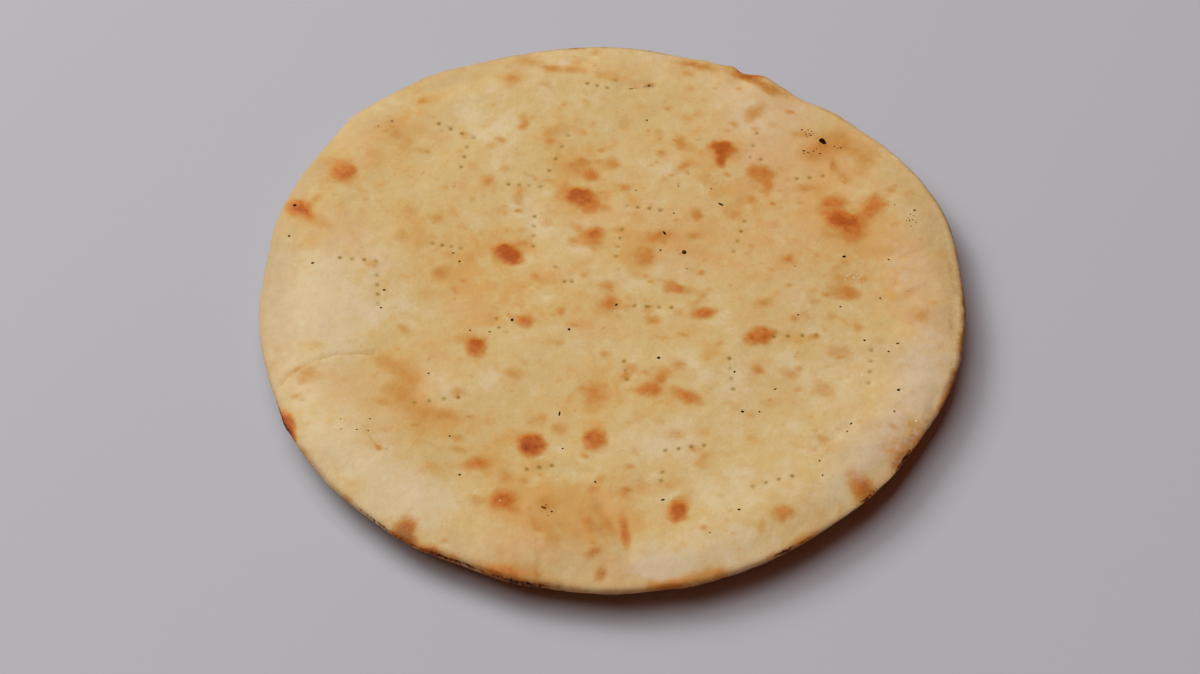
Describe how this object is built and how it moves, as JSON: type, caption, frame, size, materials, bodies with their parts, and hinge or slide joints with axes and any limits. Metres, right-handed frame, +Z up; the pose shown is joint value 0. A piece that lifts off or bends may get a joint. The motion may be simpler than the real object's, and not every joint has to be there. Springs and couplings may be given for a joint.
{
  "type": "round flatbread",
  "caption": "Round baked flatbread with a puffed rim, browned blisters and short rows of fork pricks over its top.",
  "frame": {"origin": "on the surface the bread rests on, under the middle of its outline's box", "axes": "+Z up out of the baked top, -Y towards the viewer, +X to the viewer's right"},
  "size_m": [0.3242, 0.3237, 0.0212],
  "materials": {
    "crust": null
  },
  "bodies": {
    "root": {"bread": "crust"}
  },
  "joints": []
}
